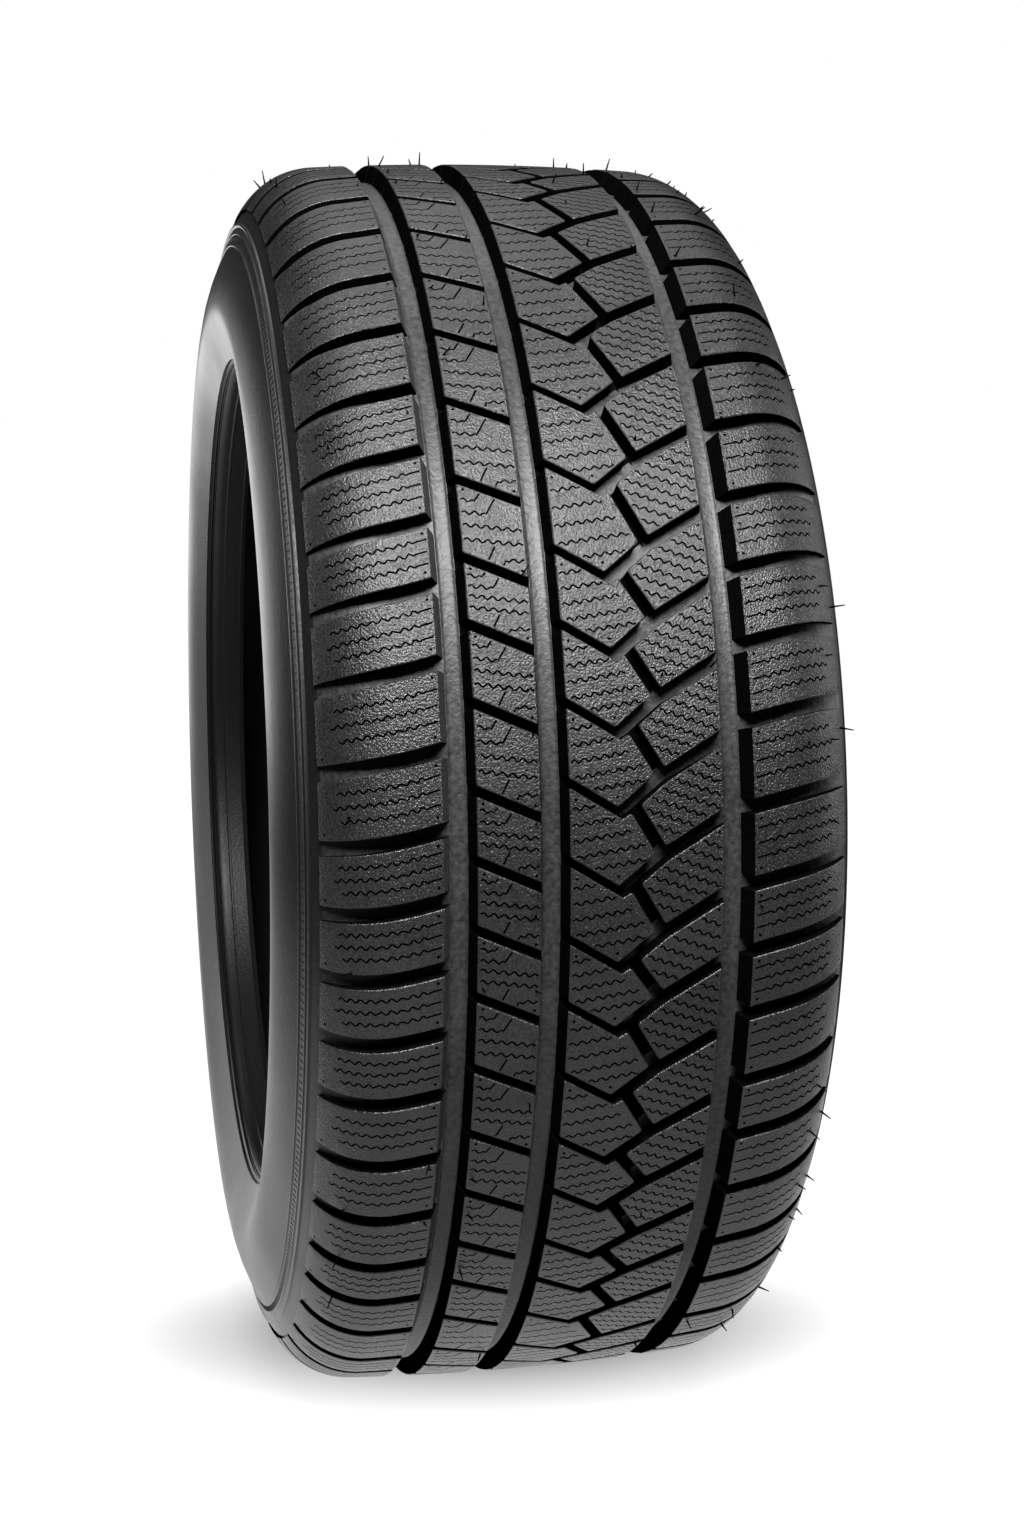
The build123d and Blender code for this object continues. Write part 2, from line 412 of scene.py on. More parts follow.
def centre_block(pitch):
    """A five-cornered block left of the zigzag slot."""
    left = GROOVES[1][2]
    zigzag = (ZIGZAG_START, (SLOT_DIAGONAL[1][0], SLOT_DIAGONAL[1][1] - pitch))
    slot_above = lip(*SLOT_CENTRE, -CENTRE_SLOT_WIDTH / 2)
    slot_below = lip(*down(SLOT_CENTRE, pitch), CENTRE_SLOT_WIDTH / 2)
    diagonal_below = lip(*down(SLOT_DIAGONAL[:2], pitch), DIAGONAL_WIDTH / 2)
    diagonal_above = lip(*SLOT_DIAGONAL[:2], -DIAGONAL_WIDTH / 2)
    zigzag_lip = lip(*zigzag, -ZIGZAG_WIDTH / 2)
    corners = [
        at_across(slot_above, left),
        at_across(slot_above, SLOT_CENTRE[1][0] + 0.6),
        meet(diagonal_above, zigzag_lip),
        meet(zigzag_lip, diagonal_below),
        meet(slot_below, diagonal_below),
        at_across(slot_below, left),
    ]
    hull = [corners[0], corners[1], corners[3], corners[4], corners[5]]
    cuts = []
    for share in CENTRE_SIPES:
        ends = chord(hull, (left, 1.0 - share * pitch), CENTRE_SIPE_SLOPE)
        if ends:
            cuts.append(sipe(ends, (SIPE_SWING,)))
    tip = corners[4]
    dots = [dot(left + 2.6, -6.6), dot(tip.x - 0.4, tip.y + 4.2)]
    return corners, cuts, dots


def right_block(pitch):
    """A block right of the zigzag slot, rounded at its left tip."""
    right = GROOVES[2][0]
    zigzag = (ZIGZAG_START, (SLOT_DIAGONAL[1][0], SLOT_DIAGONAL[1][1] - pitch))
    first_above = lip(*SLOT_DIAGONAL[:2], -DIAGONAL_WIDTH / 2)
    second_above = lip(*SLOT_DIAGONAL[1:], -DIAGONAL_WIDTH / 2)
    second_below = lip(*down(SLOT_DIAGONAL[1:], pitch), DIAGONAL_WIDTH / 2)
    zigzag_lip = lip(*zigzag, ZIGZAG_WIDTH / 2)
    corners = [
        meet(zigzag_lip, first_above),
        meet(first_above, second_above),
        at_across(second_above, right),
        at_across(second_below, right),
        meet(zigzag_lip, second_below),
    ]
    cuts = []
    count = round(pitch / RIGHT_SIPE_SPACING)
    for i in range(count + 4):
        ends = chord(corners, (right, corners[2].y - 4.6 - i * pitch / count), RIGHT_SIPE_SLOPE)
        if ends:
            cuts.append(sipe(ends, (SIPE_SWING,)))
    dots = [dot(right - 2.2, corners[2].y - 3.2)]
    return corners, cuts, dots


# Making the block meshes


def of_kind(items, kind):
    """Those of some mesh elements that are of one kind."""
    return [item for item in items if isinstance(item, kind)]


def at_height(verts, height):
    """Whether all these corners lie at one height of the flat block."""
    return all(abs(vert.co.z - height) < TINY for vert in verts)


def block_body(corners, leans, rounding):
    """One closed block laid flat, with leaning walls, rounded corners and chamfered edges."""
    bm = bmesh.new()
    face = bm.faces.new([bm.verts.new((point[0], point[1], 0.0)) for point in corners])
    for vert, radius in zip(list(face.verts), rounding):
        if radius:
            bmesh.ops.bevel(
                bm, geom=[vert], offset=radius, affect="VERTICES", segments=4, profile=0.5, material=-1
            )
    face = bm.faces[:][0]
    left = min(v.co.x for v in face.verts)
    right = max(v.co.x for v in face.verts)
    made = bmesh.ops.extrude_face_region(bm, geom=[face], use_keep_orig=True)["geom"]
    base = of_kind(made, bmesh.types.BMVert)
    drop = SLOT_DEPTH + BLOCK_SINK
    bmesh.ops.translate(bm, verts=base, vec=(0.0, 0.0, -drop))
    for edge, lean, sign in ((left, leans[0], -1.0), (right, leans[1], 1.0)):
        moved = [v for v in base if abs(v.co.x - edge) < 1.0]
        bmesh.ops.translate(bm, verts=moved, vec=(sign * lean * drop / GROOVE_DEPTH, 0.0, 0.0))
    rim = [edge for edge in bm.edges if at_height(edge.verts, 0.0)]
    bmesh.ops.bevel(
        bm, geom=rim, offset=EDGE_CHAMFER, affect="EDGES", segments=1, profile=0.5, material=-1
    )
    # Walls are painted near black as shade; only the chamfer keeps the face rubber
    for item in bm.faces:
        chamfer = 0.5 < item.normal.z < 0.9
        item.material_index = FACE_FINISH if chamfer else WALL_PAINTED_SHADE
    return bm


def cut_top(bm, cuts, dots):
    """Fills a block's top anew round its sipes and vent marks, and sinks these into it."""
    top = next(f for f in bm.faces if at_height(f.verts, 0.0))
    rim = list(top.edges)
    bmesh.ops.delete(bm, geom=[top], context="FACES_ONLY")
    rings = []
    for outline, depth in [(cut, SIPE_DEPTH) for cut in cuts] + [(mark, DOT_DEPTH) for mark in dots]:
        verts = [bm.verts.new((point[0], point[1], 0.0)) for point in outline]
        rings.append(([bm.edges.new(pair) for pair in zip(verts, verts[1:] + verts[:1])], depth))
    ring_edges = [edge for ring, _ in rings for edge in ring]
    filled = bmesh.ops.triangle_fill(
        bm, edges=rim + ring_edges, use_beauty=True, normal=(0.0, 0.0, 1.0)
    )
    for item in of_kind(filled["geom"], bmesh.types.BMFace):
        item.material_index = FACE_FINISH
    for ring, depth in rings:
        made = bmesh.ops.extrude_edge_only(bm, edges=ring)["geom"]
        bmesh.ops.translate(bm, verts=of_kind(made, bmesh.types.BMVert), vec=(0.0, 0.0, -depth))
        low = [e for e in of_kind(made, bmesh.types.BMEdge) if at_height(e.verts, -depth)]
        floor = bmesh.ops.contextual_create(bm, geom=low)["faces"]
        # Walls and floors of sipes and vent marks are painted near black as shade
        for item in floor + of_kind(made, bmesh.types.BMFace):
            item.material_index = WALL_PAINTED_SHADE


def block_mesh(corners, cuts, dots, leans, rounding):
    """Mesh of one block laid flat, with its sipes and vent marks, in strips so that it can bend."""
    bm = block_body(corners, leans, rounding)
    cut_top(bm, cuts, dots)
    bmesh.ops.recalc_face_normals(bm, faces=bm.faces[:])
    # Walls that lean back keep the groove floor's rubber; the other walls stay painted near black as
    # shade
    for item in bm.faces:
        leaning = item.normal.x > 0.8 and item.normal.z > 0.38
        if leaning and item.material_index == WALL_PAINTED_SHADE:
            item.material_index = LEANING_FINISH
    slice_block(bm, 1, STRIP_ALONG)
    if max(abs(v.co.x) for v in bm.verts) > HALF_FLAT:
        slice_block(bm, 0, STRIP_ACROSS)
    mesh = bpy.data.meshes.new("flat_block")
    bm.to_mesh(mesh)
    bm.free()
    return mesh


def slice_block(bm, axis, spacing):
    """Cuts a flat block into strips across one axis, all of about this width."""
    low = min(v.co[axis] for v in bm.verts)
    high = max(v.co[axis] for v in bm.verts)
    count = max(1, round((high - low) / spacing))
    normal = Vector((axis == 0, axis == 1, 0))
    for i in range(1, count):
        place = normal * (low + (high - low) * i / count)
        everything = bm.verts[:] + bm.edges[:] + bm.faces[:]
        bmesh.ops.bisect_plane(bm, geom=everything, dist=1e-4, plane_co=place, plane_no=normal)


def ring_of_blocks(row, design, leans, rounding):
    """One row of blocks all round the tyre, each as long as its pitch."""
    flat = {}
    bm = bmesh.new()
    for letter, angle, pitch in pitches(row):
        if letter not in flat:
            corners, cuts, dots = design(pitch)
            radii = rounding + [0.0] * (len(corners) - len(rounding))
            flat[letter] = block_mesh(corners, cuts, dots, leans, radii)
        done = len(bm.verts)
        bm.from_mesh(flat[letter])
        bm.verts.ensure_lookup_table()
        for vert in bm.verts[done:]:
            vert.co = wrap(vert.co, angle)
    for mesh in flat.values():
        bpy.data.meshes.remove(mesh)
    return bm


# Casing


def groove_floor(left, left_lean, right, right_lean):
    """Section of one groove below the slots: height and distance across, left to right."""
    share = SLOT_DEPTH / GROOVE_DEPTH
    low_left, low_right = left + left_lean, right - right_lean
    return [
        (-SLOT_DEPTH, left + left_lean * share - 0.15),
        (-GROOVE_DEPTH + 0.7, low_left - 0.1),
        (-GROOVE_DEPTH + 0.2, low_left + 0.5),
        (-GROOVE_DEPTH, low_left + 1.4),
        (-GROOVE_DEPTH, low_right - 1.4),
        (-GROOVE_DEPTH + 0.2, low_right - 0.5),
        (-GROOVE_DEPTH + 0.7, low_right + 0.1),
        (-SLOT_DEPTH, right - right_lean * share + 0.15),
    ]


def side_outline():
    """Half section from the end of the shoulder blocks to the bead's heel, radius and y."""
    turns = [BLOCK_END_TURN + 2.0 + i * 2.2 for i in range(4)]
    points = []
    for turn in turns:
        points.append(section(across_at_turn(turn), -BLOCK_END_STEP * (SHOULDER_TURN - turn) / 12))
    return points + [
        (294.4, 120.9), (294.1, 121.9), (293.2, 122.2), (292.4, 121.9), (292.0, 121.6),
        (289.6, 122.3), (289.3, 122.9), (288.6, 123.1), (288.2, 122.8),
        (283.6, 124.4), (283.3, 125.0), (282.6, 125.2), (282.1, 124.9),
        (277.0, 127.4), (270.0, 130.2), (263.0, 132.4), (257.0, 133.6),
        (WIDEST_RADIUS, HALF_SECTION),
        (247.4, 133.6), (244.0, 132.8), (240.0, 131.5), (236.0, 130.0), (232.0, 128.4),
        (228.0, 126.8), (224.8, 125.5), (222.6, 124.6),
    ]


def bead_outline():
    """Half section of the bead, with two fine grooves at its heel and a fine ridge on its seat."""
    seat = BEAD_SEAT_RADIUS
    return [
        (222.6, 124.6), (223.6, 124.0), (223.4, 123.4), (221.6, 123.2), (220.6, 122.4), (221.6, 121.7),
        (221.2, 121.0), (219.6, 120.8), (218.9, 119.8), (218.7, 117.0), (218.7, 114.4),
        (seat, 113.8), (seat, 113.0), (218.7, 112.4), (218.7, 104.5), (seat, 104.0),
    ]


def liner_outline():
    """Half section of the inside, from the bead's toe to the middle of the crown, radius and y."""
    return [
        (BEAD_SEAT_RADIUS, 104.0), (218.9, 101.8), (220.6, 101.3), (224.0, 101.9), (228.0, 103.5),
        (236.0, 110.6), (246.0, 119.2), (256.3, 123.6), (268.0, 121.4), (280.0, 114.6), (290.0, 101.8),
        (298.0, 84.0), (303.6, 73.0), (307.0, 62.0), (308.0, 48.0), (308.0, 0.0),
    ]


def tread_floor():
    """Strips of the casing's outside under the blocks, each with its finish, from left to right; the
    strips under the rib and centre blocks are painted near black as shade in the slots.
    """
    turns = [TURN_START + (BLOCK_END_TURN - TURN_START) * i / 9 for i in range(10)]
    right = [section(a, -SLOT_DEPTH * depth_share(a)) for a in (across_at_turn(t) for t in turns)]
    left = [(radius, -y) for radius, y in right[::-1]]
    rings = []
    for groove in GROOVES:
        rings.append([(crown(across) + height, across) for height, across in groove_floor(*groove)])
    junction = SLOT_DIAGONAL[1][0] + 1.0
    turning = (crown(junction) - SLOT_DEPTH, junction)
    return [
        (FLOOR_FINISH, left + rings[0]),
        # Under the rib and centre blocks the slot floors are painted near black as shade
        (FLOOR_PAINTED_SHADE, [rings[0][-1], rings[1][0]]),
        (FLOOR_FINISH, rings[1]),
        (FLOOR_PAINTED_SHADE, [rings[1][-1], turning]),
        (FLOOR_FINISH, [turning] + rings[2] + right),
    ]


def round_the_axis(shape, count):
    """Copies of a shape at equal steps round the tyre's axis."""
    mesh = bpy.data.meshes.new("repeated_shape")
    shape.to_mesh(mesh)
    shape.free()
    bm = bmesh.new()
    for _ in range(count):
        bm.from_mesh(mesh)
        mesh.transform(Matrix.Rotation(2 * math.pi / count, 4, "Y"))
    bpy.data.meshes.remove(mesh)
    return bm


def casing():
    """The body of the tyre under the tread blocks: its groove floors, sidewalls, beads and inside."""
    tread = tread_floor()
    block_end = tread[-1][1][-1]
    strips = [
        (SIDE_FINISH, [block_end] + side_outline()),
        (BEAD_PAINTED_SHADE, bead_outline()),
        (LINER_PAINTED_SHADE, liner_outline()),
    ]
    strips += [(finish, [(radius, -y) for radius, y in line]) for finish, line in strips]
    strips += tread
    sector = bmesh.new()
    for finish, line in strips:
        done = len(sector.faces)
        verts = [sector.verts.new((radius * MM, y * MM, 0.0)) for radius, y in line]
        edges = [sector.edges.new(pair) for pair in zip(verts, verts[1:])]
        bmesh.ops.spin(
            sector, geom=verts + edges, axis=(0.0, 1.0, 0.0), cent=(0.0, 0.0, 0.0),
            steps=SECTOR_STEPS, angle=2 * math.pi / CASING_SECTORS,
        )
        sector.faces.ensure_lookup_table()
        for face in sector.faces[done:]:
            face.material_index = finish
    bm = round_the_axis(sector, CASING_SECTORS)
    bmesh.ops.remove_doubles(bm, verts=bm.verts[:], dist=0.02 * MM)
    bmesh.ops.recalc_face_normals(bm, faces=bm.faces[:])
    return bm


def diagonal_floors():
    """Pale floors of the diagonal slots where they pass the tips of the centre blocks."""
    bm = bmesh.new()
    half = DIAGONAL_WIDTH / 2 + 0.2
    length = (Vector(SLOT_DIAGONAL[1]) - Vector(SLOT_DIAGONAL[0])).length + 2.0
    top, foot = 0.1 - SLOT_DEPTH, -1.5 - SLOT_DEPTH
    for _, angle, _ in pitches(ZIGZAG_ROW):
        edges = []
        for offset, height in ((half, top), (-half, top), (-half, foot), (half, foot)):
            point, along = lip(*SLOT_DIAGONAL[:2], offset)
            line = [point + along * (length * i / 4) for i in range(5)]
            edges.append([bm.verts.new(wrap((p.x, p.y, height), angle)) for p in line])
        for one, two in zip(edges, edges[1:] + edges[:1]):
            for a, b, c, d in zip(one, one[1:], two[1:], two):
                bm.faces.new((d, c, b, a))
        bm.faces.new([edge[0] for edge in edges])
        bm.faces.new([edge[-1] for edge in edges[::-1]])
    bmesh.ops.recalc_face_normals(bm, faces=bm.faces[:])
    return bm


def sidewall_ribs():
    """Rings of fine short ribs beside the mould ridge on both sidewalls."""
    pair = bmesh.new()
    for side in (-1.0, 1.0):
        made = bmesh.ops.create_cube(pair, size=1.0)["verts"]
        bmesh.ops.scale(pair, verts=made, vec=[size * MM for size in FINE_RIB_SIZE])
        tip = [v for v in made if v.co.y * side > 0]
        bmesh.ops.scale(pair, verts=tip, vec=(0.8, 1.0, 0.4))
        turn = Matrix.Rotation(side * math.radians(FINE_RIB_TURN), 4, "Z")
        radius, y = FINE_RIB_PLACE
        place = Matrix.Translation((radius * MM, side * y * MM, 0.0))
        bmesh.ops.transform(pair, matrix=place @ turn, verts=made)
    return round_the_axis(pair, FINE_RIBS)


def vent_hairs():
    """Short rubber hairs left by the mould's vents, along the shoulders and the ribs."""
    rng = random.Random(HAIR_SEED)
    bm = bmesh.new()
    axle = Vector((0.0, 1.0, 0.0))
    for _, angle, pitch in pitches(ZIGZAG_ROW):
        for across, chance in HAIR_ROWS:
            share = rng.uniform(0.3, 0.75)
            length = rng.uniform(*HAIR_LENGTHS)
            lean = rng.uniform(-HAIR_LEAN, HAIR_LEAN)
            twist = rng.uniform(-HAIR_LEAN, HAIR_LEAN)
            keep = rng.random()
            turn = angle - share * pitch / CROWN_RADIUS
            place = wrap((across, 0.0, -0.3), turn)
            likely = chance * 2.0 if place.z > HAIRY_FROM else chance
            if keep > likely or place.z < BARE_BELOW:
                continue
            outward = (wrap((across, 0.0, 1.0), turn) - place).normalized()
            ahead = axle.cross(outward)
            aim = (outward + ahead * lean + axle * twist).normalized()
            made = bmesh.ops.create_cone(
                bm, cap_ends=True, segments=5, radius1=HAIR_FOOT_RADIUS * MM,
                radius2=HAIR_TIP_RADIUS * MM, depth=length * MM,
            )["verts"]
            stand = Matrix.Translation(place) @ aim.to_track_quat("Z", "Y").to_matrix().to_4x4()
            rise = Matrix.Translation((0.0, 0.0, length / 2 * MM))
            bmesh.ops.transform(bm, matrix=stand @ rise, verts=made)
    return bm


# Materials


def new_group(name, inputs, outputs):
    """An empty shader node group with these sockets, and its two end nodes."""
    group = bpy.data.node_groups.new(name, "ShaderNodeTree")
    for label, kind, value in inputs:
        group.interface.new_socket(label, in_out="INPUT", socket_type=kind).default_value = value
    for label, kind in outputs:
        group.interface.new_socket(label, in_out="OUTPUT", socket_type=kind)
    return group, group.nodes.new("NodeGroupInput"), group.nodes.new("NodeGroupOutput")


def noise(tree, vector, scale, detail, roughness=0.55):
    """A noise texture on these coordinates."""
    node = tree.nodes.new("ShaderNodeTexNoise")
    node.inputs["Scale"].default_value = scale
    node.inputs["Detail"].default_value = detail
    node.inputs["Roughness"].default_value = roughness
    tree.links.new(vector, node.inputs["Vector"])
    return node.outputs["Fac"]


def spread(tree, value, low, high, start=0.3, end=0.7):
    """A value stretched from one range to another, held at its ends."""
    node = tree.nodes.new("ShaderNodeMapRange")
    node.inputs["From Min"].default_value = start
    node.inputs["From Max"].default_value = end
    node.inputs["To Min"].default_value = low
    node.inputs["To Max"].default_value = high
    tree.links.new(value, node.inputs["Value"])
    return node.outputs["Result"]


def mix_shaders(tree, share, first, second):
    """Two shaders blended by a share of the second."""
    node = tree.nodes.new("ShaderNodeMixShader")
    tree.links.new(share, node.inputs["Fac"])
    tree.links.new(first, node.inputs[1])
    tree.links.new(second, node.inputs[2])
    return node.outputs["Shader"]


def mould_grain_group():
    """Mottling of moulded rubber: a slow stain and a fine grain."""
    group, ins, outs = new_group(
        "mould_grain",
        [("Vector", "NodeSocketVector", (0.0, 0.0, 0.0)), ("Grain Scale", "NodeSocketFloat", 900.0)],
        [("Stain", "NodeSocketFloat"), ("Grain", "NodeSocketFloat")],
    )
    stain = noise(group, ins.outputs["Vector"], 14.0, 5.0)
    grain = noise(group, ins.outputs["Vector"], 900.0, 2.0)
    group.links.new(ins.outputs["Grain Scale"], grain.node.inputs["Scale"])
    group.links.new(stain, outs.inputs["Stain"])
    group.links.new(grain, outs.inputs["Grain"])
    return group


def dust_group():
    """Sparse pale specks of dust, gathered in patches."""
    group, ins, outs = new_group(
        "dust_specks",
        [("Vector", "NodeSocketVector", (0.0, 0.0, 0.0))],
        [("Dust", "NodeSocketFloat")],
    )
    cells = group.nodes.new("ShaderNodeTexVoronoi")
    cells.inputs["Scale"].default_value = 330.0
    group.links.new(ins.outputs["Vector"], cells.inputs["Vector"])
    speck = spread(group, cells.outputs["Distance"], 1.0, 0.0, 0.06, 0.16)
    chosen = spread(group, cells.outputs["Color"], 0.0, 1.0, 0.62, 0.7)
    patch = spread(group, noise(group, ins.outputs["Vector"], 22.0, 2.0), 0.0, 1.0, 0.5, 0.66)
    product = speck
    for factor in (chosen, patch):
        times = group.nodes.new("ShaderNodeMath")
        times.operation = "MULTIPLY"
        group.links.new(product, times.inputs[0])
        group.links.new(factor, times.inputs[1])
        product = times.outputs["Value"]
    group.links.new(product, outs.inputs["Dust"])
    return group


def rubber(name, dark, light, rough, grain_scale, bump, specular, dust=0.0):
    """Black moulded rubber with its stains, grain, gloss and dust."""
    material = bpy.data.materials.new(name)
    material.use_nodes = True
    tree = material.node_tree
    shader = tree.nodes["Principled BSDF"]
    coords = tree.nodes.new("ShaderNodeTexCoord").outputs["Object"]
    grain = tree.nodes.new("ShaderNodeGroup")
    grain.node_tree = mould_grain
    grain.inputs["Grain Scale"].default_value = grain_scale
    tree.links.new(coords, grain.inputs["Vector"])
    blend = tree.nodes.new("ShaderNodeMix")
    blend.data_type = "RGBA"
    blend.inputs["A"].default_value = (*dark, 1.0)
    blend.inputs["B"].default_value = (*light, 1.0)
    mixed = tree.nodes.new("ShaderNodeMath")
    mixed.operation = "MULTIPLY_ADD"
    mixed.inputs[1].default_value = 0.55
    tree.links.new(spread(tree, grain.outputs["Stain"], 0.0, 1.0), mixed.inputs[0])
    tree.links.new(spread(tree, grain.outputs["Grain"], -0.2, 0.65), mixed.inputs[2])
    tree.links.new(mixed.outputs["Value"], blend.inputs["Factor"])
    colour = blend.outputs["Result"]
    if dust:
        specks = tree.nodes.new("ShaderNodeGroup")
        specks.node_tree = dust_specks
        tree.links.new(coords, specks.inputs["Vector"])
        dusty = tree.nodes.new("ShaderNodeMix")
        dusty.data_type = "RGBA"
        dusty.inputs["B"].default_value = (dust, dust, dust, 1.0)
        tree.links.new(specks.outputs["Dust"], dusty.inputs["Factor"])
        tree.links.new(colour, dusty.inputs["A"])
        colour = dusty.outputs["Result"]
    tree.links.new(colour, shader.inputs["Base Color"])
    smooth, matt = rough
    tree.links.new(spread(tree, grain.outputs["Stain"], matt, smooth), shader.inputs["Roughness"])
    shader.inputs["Specular IOR Level"].default_value = specular
    relief = tree.nodes.new("ShaderNodeBump")
    relief.inputs["Strength"].default_value = bump
    relief.inputs["Distance"].default_value = GRAIN_HEIGHT
    tree.links.new(grain.outputs["Grain"], relief.inputs["Height"])
    tree.links.new(relief.outputs["Normal"], shader.inputs["Normal"])
    return material


mould_grain = mould_grain_group()
dust_specks = dust_group()
block_face = rubber(
    "block_face_rubber", dark=(0.004, 0.004, 0.0042), light=(0.034, 0.034, 0.035),
    rough=(0.25, 0.35), grain_scale=1000.0, bump=1.0, specular=0.5, dust=0.14,
)
# Near-black rubber without gloss for block walls, sipes, vent marks and slot floors: painted shade in the
# recesses. The vent hairs take it too.
painted_shade_wall = rubber(
    "painted_shade_wall_rubber", dark=(0.001, 0.001, 0.001), light=(0.003, 0.003, 0.003),
    rough=(0.6, 0.75), grain_scale=900.0, bump=0.3, specular=0.0,
)
groove_floor_rubber = rubber(
    "groove_floor_rubber", dark=(0.011, 0.011, 0.0114), light=(0.044, 0.044, 0.0453),
    rough=(0.4, 0.5), grain_scale=420.0, bump=0.5, specular=0.4, dust=0.10,
)
sidewall_rubber = rubber(
    "sidewall_rubber", dark=(0.006, 0.006, 0.006), light=(0.012, 0.012, 0.0125),
    rough=(0.30, 0.40), grain_scale=700.0, bump=0.2, specular=0.5,
)
# Darker rubber at the bead and on the fine sidewall ribs: painted shade
bead_painted_shade_rubber = rubber(
    "bead_painted_shade_rubber", dark=(0.004, 0.004, 0.004), light=(0.008, 0.008, 0.008),
    rough=(0.4, 0.5), grain_scale=600.0, bump=0.3, specular=0.35,
)
# Darkest rubber, inside the tyre: painted shade in the hollow
liner_painted_shade_rubber = rubber(
    "liner_painted_shade_rubber", dark=(0.003, 0.003, 0.003), light=(0.007, 0.007, 0.007),
    rough=(0.55, 0.7), grain_scale=500.0, bump=0.3, specular=0.2,
)


# Pieces


def piece(name, bm, materials, sharp_angle):
    """A finished piece of the tyre."""
    mesh = bpy.data.meshes.new(name)
    bm.to_mesh(mesh)
    bm.free()
    for material in materials:
        mesh.materials.append(material)
    mesh.shade_smooth()
    mesh.set_sharp_from_angle(angle=math.radians(sharp_angle))
    made = bpy.data.objects.new(name, mesh)
    bpy.context.scene.collection.objects.link(made)
    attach(made, "root")
    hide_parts("tyre")
    return made


def left_shoulder_block(pitch):
    """A block of the left shoulder."""
    return shoulder_block(SLOT_LEFT_SHOULDER, GROOVES[0][0], pitch, LEFT_SIPES)


def right_shoulder_block(pitch):
    """A block of the right shoulder."""
    return shoulder_block(SLOT_RIGHT_SHOULDER, GROOVES[2][2], pitch, RIGHT_SIPES)


casing_finishes = (groove_floor_rubber, sidewall_rubber, liner_painted_shade_rubber, painted_shade_wall, bead_painted_shade_rubber)
piece("tyre_casing", casing(), casing_finishes, 32)
piece("diagonal_floors", diagonal_floors(), (groove_floor_rubber,), 32)
# The fine ribs take the bead's darker rubber, painted shade that keeps their tops from looking lit
piece("sidewall_ribs", sidewall_ribs(), (bead_painted_shade_rubber,), 32)
# The vent hairs take the near-black wall rubber, painted shade
piece("vent_hairs", vent_hairs(), (painted_shade_wall,), 40)
for name, row, design, leans, rounding in (
    ("left_shoulder_blocks", LEFT_SHOULDER_ROW, left_shoulder_block, (0.0, GROOVES[0][1]), []),
    ("left_rib_blocks", RIB_ROW, rib_block, (GROOVES[0][3], GROOVES[1][1]), [0.8] * 4),
    ("centre_blocks", ZIGZAG_ROW, centre_block, (GROOVES[1][3], 0.0), [0.8, 0.0, 1.2, 1.0, 0.8, 0.8]),
    ("right_blocks", ZIGZAG_ROW, right_block, (0.0, GROOVES[2][1]), [1.2, 0.0, 0.8, 0.8, 1.0]),
    ("right_shoulder_blocks", RIGHT_SHOULDER_ROW, right_shoulder_block, (GROOVES[2][3], 0.0), []),
):
    blocks = ring_of_blocks(row, design, leans, rounding)
    piece(name, blocks, (block_face, painted_shade_wall, groove_floor_rubber), 28)


# Floor, light and camera


def floor_distance(tree, coords, kind, place, turn, scale):
    """Distance over the floor from a point, with its own scale along each axis."""
    mapping = tree.nodes.new("ShaderNodeMapping")
    mapping.vector_type = kind
    mapping.inputs["Location"].default_value = place
    mapping.inputs["Rotation"].default_value = (0.0, 0.0, turn)
    mapping.inputs["Scale"].default_value = scale
    length = tree.nodes.new("ShaderNodeVectorMath")
    length.operation = "LENGTH"
    tree.links.new(coords, mapping.inputs["Vector"])
    tree.links.new(mapping.outputs["Vector"], length.inputs[0])
    return length.outputs["Value"]


def floor_material():
    """White studio floor with a painted contact shadow round the tyre's foot, that glows into the tyre's
    reflections as a painted reflection and lights it only a little from below.
    """
    material = bpy.data.materials.new("studio_floor")
    material.use_nodes = True
    tree = material.node_tree
    seen = tree.nodes["Principled BSDF"]
    seen.inputs["Base Color"].default_value = (0.12, 0.12, 0.12, 1.0)
    seen.inputs["Roughness"].default_value = 0.9
    seen.inputs["Specular IOR Level"].default_value = 0.0
    seen.inputs["Emission Color"].default_value = WHITE
    coords = tree.nodes.new("ShaderNodeTexCoord").outputs["Object"]
    # The floor glows white to the eye and less near the foot: a painted contact shadow
    from_foot = floor_distance(tree, coords, "TEXTURE", (0.016, 0.012, 0.0), -0.13, (1.0, 2.0, 1000.0))
    tree.links.new(spread(tree, from_foot, 0.03, 1.0, 0.025, 0.11), seen.inputs["Emission Strength"])
    # To bouncing light the floor is grey, darker further from the foot
    bounced = tree.nodes.new("ShaderNodeBsdfDiffuse")
    tree.links.new(spread(tree, from_foot, 0.25, 0.05, 0.2, 0.6), bounced.inputs["Color"])
    # To glossy rays the floor glows near the tyre and fades off behind it: a painted reflection on the
    # rubber
    painted_reflection_glow = tree.nodes.new("ShaderNodeEmission")
    from_behind = floor_distance(tree, coords, "POINT", (0.234, 0.0, 0.0), 0.0, (0.52, 0.7, 0.0))
    tree.links.new(spread(tree, from_behind, 1.1, 0.05, 0.3, 0.75), painted_reflection_glow.inputs["Strength"])
    rays = tree.nodes.new("ShaderNodeLightPath").outputs
    diffuse, emission = bounced.outputs["BSDF"], painted_reflection_glow.outputs["Emission"]
    unseen = mix_shaders(tree, rays["Is Glossy Ray"], diffuse, emission)
    surface = mix_shaders(tree, rays["Is Camera Ray"], unseen, seen.outputs["BSDF"])
    tree.links.new(surface, tree.nodes["Material Output"].inputs["Surface"])
    return material


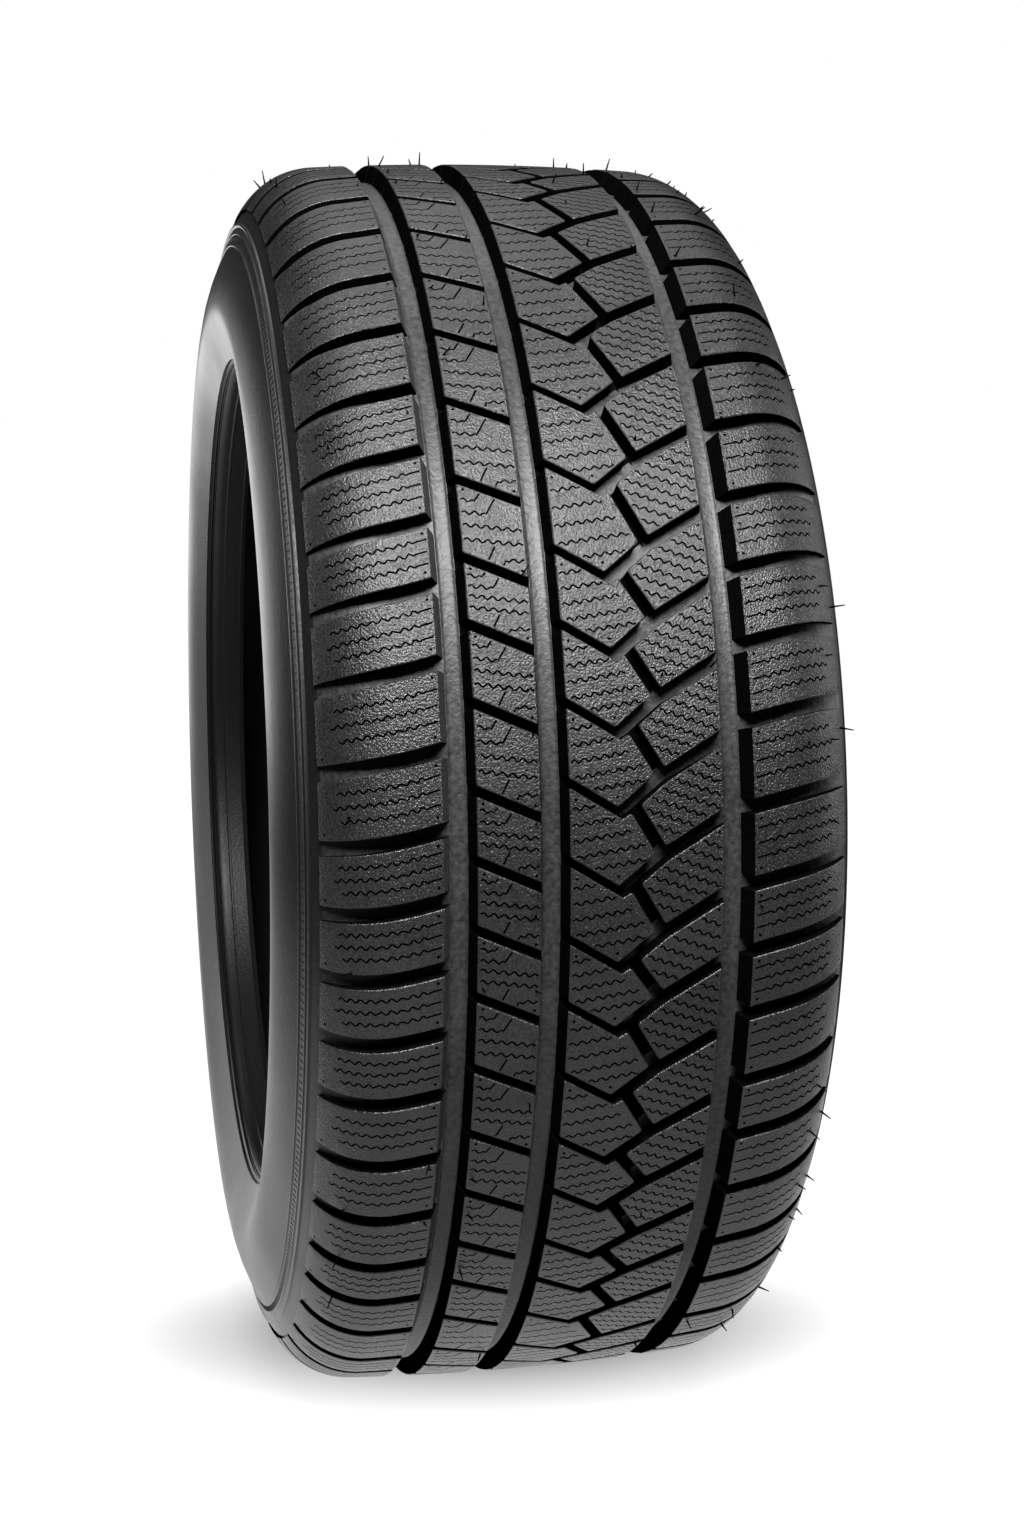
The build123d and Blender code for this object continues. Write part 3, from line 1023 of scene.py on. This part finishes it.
def studio_floor():
    """A wide round floor under the tyre's foot."""
    bm = bmesh.new()
    bmesh.ops.create_circle(bm, cap_ends=True, segments=96, radius=12.0)
    bmesh.ops.translate(bm, verts=bm.verts[:], vec=(0.0, 0.0, (CONTACT_SAG - CROWN_RADIUS) * MM))
    mesh = bpy.data.meshes.new("studio_floor")
    bm.to_mesh(mesh)
    bm.free()
    mesh.materials.append(floor_material())
    made = bpy.data.objects.new("studio_floor", mesh)
    bpy.context.scene.collection.objects.link(made)


def soft_light(name, place, aim, size, power):
    """A rectangular soft box that looks at a point."""
    light = bpy.data.lights.new(name, "AREA")
    light.shape = "RECTANGLE"
    light.size, light.size_y = size
    light.energy = power
    made = bpy.data.objects.new(name, light)
    made.location = place
    made.rotation_euler = (Vector(aim) - Vector(place)).to_track_quat("-Z", "Y").to_euler()
    made.visible_camera = False
    bpy.context.scene.collection.objects.link(made)


def white_world():
    """White surroundings to the eye, and a low even light on the tyre."""
    world = bpy.data.worlds.new("studio_white")
    bpy.context.scene.world = world
    world.use_nodes = True
    tree = world.node_tree
    seen = tree.nodes["Background"]
    seen.inputs["Color"].default_value = WHITE
    seen.inputs["Strength"].default_value = 1.0
    fill = tree.nodes.new("ShaderNodeBackground")
    fill.inputs["Color"].default_value = WHITE
    fill.inputs["Strength"].default_value = 0.02
    rays = tree.nodes.new("ShaderNodeLightPath").outputs
    low, bright = fill.outputs["Background"], seen.outputs["Background"]
    surface = mix_shaders(tree, rays["Is Camera Ray"], low, bright)
    tree.links.new(surface, tree.nodes["World Output"].inputs["Surface"])


studio_floor()
white_world()
for name, settings in SOFT_BOXES.items():
    soft_light(name, *settings)

camera_data = bpy.data.cameras.new("photo_camera")
camera_data.sensor_width = SENSOR_WIDTH
camera_data.lens = LENS
camera_data.shift_y = LENS_SHIFT
camera = bpy.data.objects.new("photo_camera", camera_data)
camera.location = CAMERA_PLACE
camera.rotation_euler = Vector(CAMERA_AHEAD).to_track_quat("-Z", "Y").to_euler()
bpy.context.scene.collection.objects.link(camera)
bpy.context.scene.camera = camera
bpy.context.scene.view_settings.view_transform = "Standard"

bpy.context.view_layer.update()
